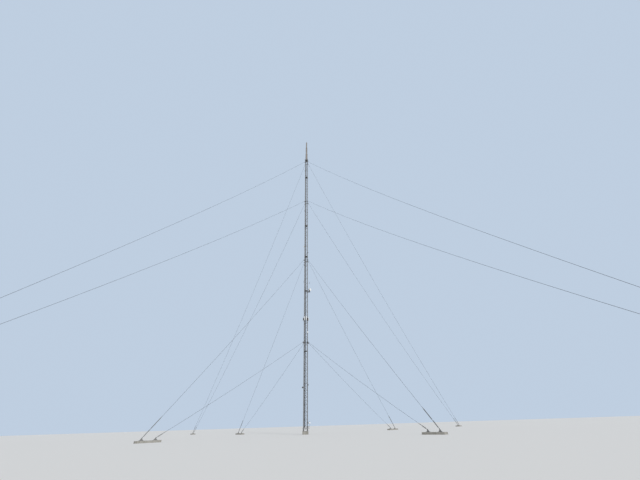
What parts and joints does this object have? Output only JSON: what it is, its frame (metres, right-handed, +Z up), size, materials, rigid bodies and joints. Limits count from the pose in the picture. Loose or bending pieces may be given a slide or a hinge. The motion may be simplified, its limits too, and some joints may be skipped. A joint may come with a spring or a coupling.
{
  "type": "guyed lattice radio mast, 1:10 scale model",
  "caption": "Tall square lattice radio mast on a concrete plinth, held by steel stays to ground anchors, with dishes and a slim antenna on top; one tenth scale model",
  "frame": {"origin": "centre of the underside of the concrete plinth, on the ground and on the axis of the column", "axes": "+Z up along the column; X and Y square to the faces of the column; the stays run out along the diagonals between X and Y"},
  "size_m": [15.3794, 15.3794, 15.986],
  "materials": {
    "galvanised_steel": "weathered hot-dip galvanised steel, dull grey",
    "dark_steel": "dark grey painted steel, worn",
    "forged_fittings": "galvanised forged fittings with grease stains",
    "steel_rope": "greased steel strand, dark grey",
    "cable_jacket": "matt black cable jacket",
    "white_enamel": "white painted, slightly chalky",
    "antenna_shroud": "grey-tan weathered glass fibre",
    "red_lamp": "red moulded lens",
    "concrete": "cast concrete, weathered"
  },
  "bodies": {
    "root": {"anchor_plates": "forged_fittings", "base_guard": "dark_steel", "base_shoes": "forged_fittings", "climbing_ladder": "galvanised_steel", "drum_arm": "dark_steel", "drum_dish": "white_enamel", "equipment_boxes": "dark_steel", "feeder_cables": "cable_jacket", "feeder_tray": "galvanised_steel", "foundation_plinth": "concrete", "inner_anchor_blocks": "concrete", "lacing_back_1": "galvanised_steel", "lacing_back_2": "galvanised_steel", "lacing_back_3": "galvanised_steel", "lacing_back_4": "galvanised_steel", "lacing_front_1": "galvanised_steel", "lacing_front_2": "galvanised_steel", "lacing_front_3": "galvanised_steel", "lacing_front_4": "galvanised_steel", "lacing_left_1": "galvanised_steel", "lacing_left_2": "galvanised_steel", "lacing_left_3": "galvanised_steel", "lacing_left_4": "galvanised_steel", "lacing_right_1": "galvanised_steel", "lacing_right_2": "galvanised_steel", "lacing_right_3": "galvanised_steel", "lacing_right_4": "galvanised_steel", "leg_back_left": "galvanised_steel", "leg_back_right": "galvanised_steel", "leg_front_left": "galvanised_steel", "leg_front_right": "galvanised_steel", "lightning_spike": "galvanised_steel", "lower_stay_links": "forged_fittings", "obstruction_lights": "red_lamp", "outer_anchor_blocks": "concrete", "panel_antennas": "white_enamel", "panel_frame": "dark_steel", "side_dipoles": "dark_steel", "small_dish_arms": "dark_steel", "small_dishes": "white_enamel", "stay_collar_1": "dark_steel", "stay_collar_2": "dark_steel", "stay_collar_3": "dark_steel", "stay_collar_4": "dark_steel", "stays_level_1": "steel_rope", "stays_level_2": "steel_rope", "stays_level_3": "steel_rope", "stays_level_4": "steel_rope", "top_antenna": "antenna_shroud", "top_handrail": "galvanised_steel", "top_platform": "dark_steel", "upper_stay_sockets": "forged_fittings", "work_platform_1": "dark_steel", "work_platform_2": "dark_steel", "work_platform_3": "dark_steel", "work_platform_4": "dark_steel", "work_platform_5": "dark_steel"}
  },
  "joints": []
}
